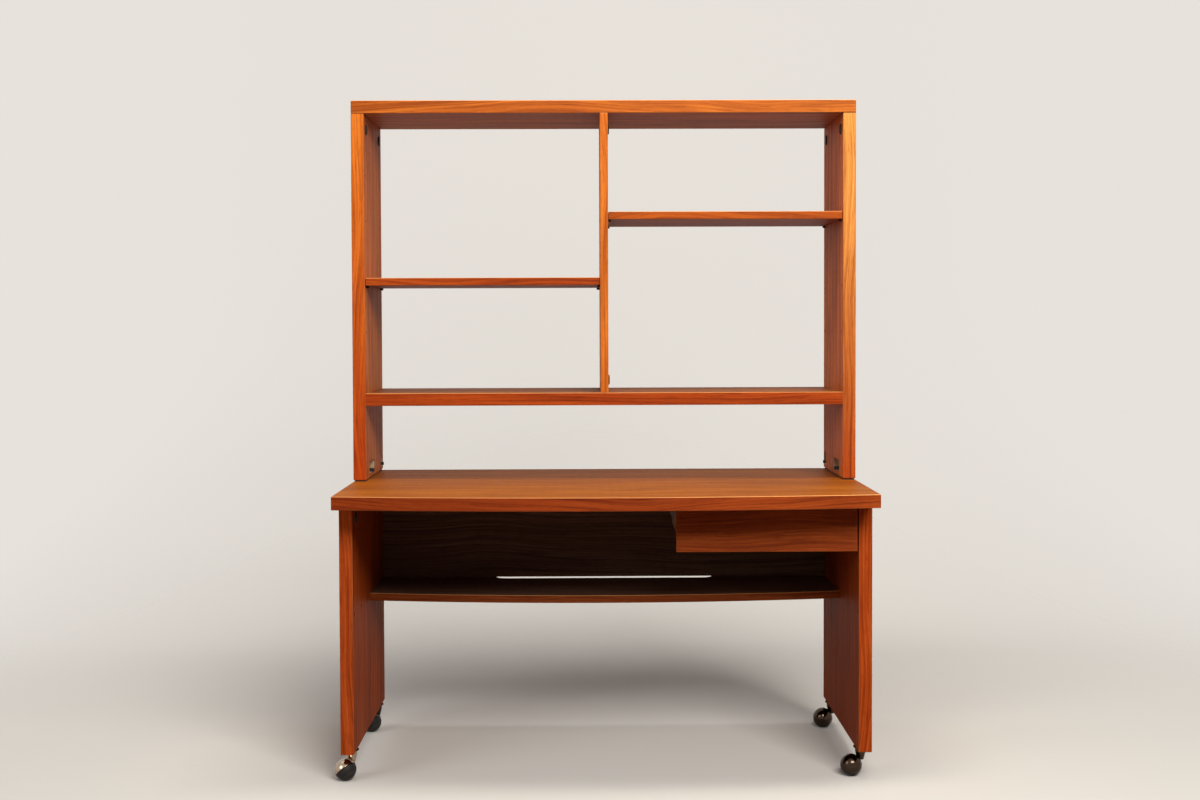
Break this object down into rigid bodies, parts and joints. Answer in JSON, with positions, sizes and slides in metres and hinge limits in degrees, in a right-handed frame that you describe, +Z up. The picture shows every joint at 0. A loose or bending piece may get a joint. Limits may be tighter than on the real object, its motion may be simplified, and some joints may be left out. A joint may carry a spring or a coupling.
{
  "type": "desk with shelves",
  "caption": "Teak writing desk on ball casters with a bowed front, a hanging drawer, a lower shelf and an open shelf unit with loose shelves standing on it.",
  "frame": {"origin": "on the floor under the middle of the desk, half way between its rear plane and the middle of the bowed front", "axes": "+Z up, the front of the desk towards -Y, +X to the right as seen from the front"},
  "size_m": [1.3405, 0.6859, 1.724],
  "materials": {
    "teak": "oiled teak veneer",
    "pale_wood": "plain beech and plywood",
    "runner_plastic": "smooth",
    "grey_steel": "satin light grey",
    "bright_steel": "zinc plated",
    "brown_plastic": "satin",
    "black_plastic": "satin",
    "chrome": "bright plated",
    "wheel_rubber": "smooth dark tread"
  },
  "bodies": {
    "desk": {"desktop": "teak", "left_leg": "teak", "right_leg": "teak", "back_panel": "teak", "lower_shelf": "teak", "hutch_left_side": "teak", "hutch_right_side": "teak", "hutch_top": "teak", "hutch_fixed_shelf": "teak", "hutch_divider": "teak", "hutch_left_shelf": "teak", "hutch_right_shelf": "teak", "lower_shelf_tongues": "pale_wood", "back_panel_tongues": "pale_wood", "hutch_tongues": "pale_wood", "drawer_left_hanger": "grey_steel", "drawer_right_hanger": "grey_steel", "hanger_screws": "bright_steel", "leg_cam_bolts": "bright_steel", "hutch_cam_bolts": "bright_steel", "hutch_shelf_pins": "bright_steel", "foot_plates": "bright_steel", "leg_cam_fittings": "brown_plastic", "hutch_cam_fittings": "brown_plastic", "foot_bolts": "black_plastic", "hutch_foot_strips": "black_plastic", "caster_sockets": "chrome"},
    "drawer": {"drawer_front": "teak", "drawer_left_side": "pale_wood", "drawer_right_side": "pale_wood", "drawer_back": "pale_wood", "drawer_bottom": "pale_wood", "drawer_left_runner": "runner_plastic", "drawer_right_runner": "runner_plastic"},
    "front_left_caster": {"caster_front_left_hood": "chrome", "caster_front_left_axle": "bright_steel"},
    "front_left_wheel": {"caster_front_left_wheel": "wheel_rubber"},
    "front_right_caster": {"caster_front_right_hood": "chrome", "caster_front_right_axle": "bright_steel"},
    "front_right_wheel": {"caster_front_right_wheel": "wheel_rubber"},
    "rear_left_caster": {"caster_rear_left_hood": "chrome", "caster_rear_left_axle": "bright_steel"},
    "rear_left_wheel": {"caster_rear_left_wheel": "wheel_rubber"},
    "rear_right_caster": {"caster_rear_right_hood": "chrome", "caster_rear_right_axle": "bright_steel"},
    "rear_right_wheel": {"caster_rear_right_wheel": "wheel_rubber"}
  },
  "joints": [
    {"name": "drawer_slide", "type": "slide", "parent": "desk", "child": "drawer", "axis": [0, -1, 0], "range_m": [0, 0.3]},
    {"name": "front_left_swivel", "type": "hinge", "parent": "desk", "child": "front_left_caster", "pos_m": [-0.641, -0.141, 0.09], "axis": [0, 0, 1], "continuous": true},
    {"name": "front_left_roll", "type": "hinge", "parent": "front_left_caster", "child": "front_left_wheel", "pos_m": [-0.6535, -0.16265, 0.0275], "axis": [-0.5795, 0.3346, 0.7431], "continuous": true},
    {"name": "front_right_swivel", "type": "hinge", "parent": "desk", "child": "front_right_caster", "pos_m": [0.641, -0.141, 0.09], "axis": [0, 0, 1], "continuous": true},
    {"name": "front_right_roll", "type": "hinge", "parent": "front_right_caster", "child": "front_right_wheel", "pos_m": [0.61674, -0.14705, 0.0275], "axis": [0.1619, -0.6493, 0.7431], "continuous": true},
    {"name": "rear_left_swivel", "type": "hinge", "parent": "desk", "child": "rear_left_caster", "pos_m": [-0.641, 0.29, 0.09], "axis": [0, 0, 1], "continuous": true},
    {"name": "rear_left_roll", "type": "hinge", "parent": "rear_left_caster", "child": "rear_left_wheel", "pos_m": [-0.6535, 0.26835, 0.0275], "axis": [-0.5795, 0.3346, 0.7431], "continuous": true},
    {"name": "rear_right_swivel", "type": "hinge", "parent": "desk", "child": "rear_right_caster", "pos_m": [0.641, 0.29, 0.09], "axis": [0, 0, 1], "continuous": true},
    {"name": "rear_right_roll", "type": "hinge", "parent": "rear_right_caster", "child": "rear_right_wheel", "pos_m": [0.61609, 0.28782, 0.0275], "axis": [0.0583, -0.6666, 0.7431], "continuous": true}
  ]
}
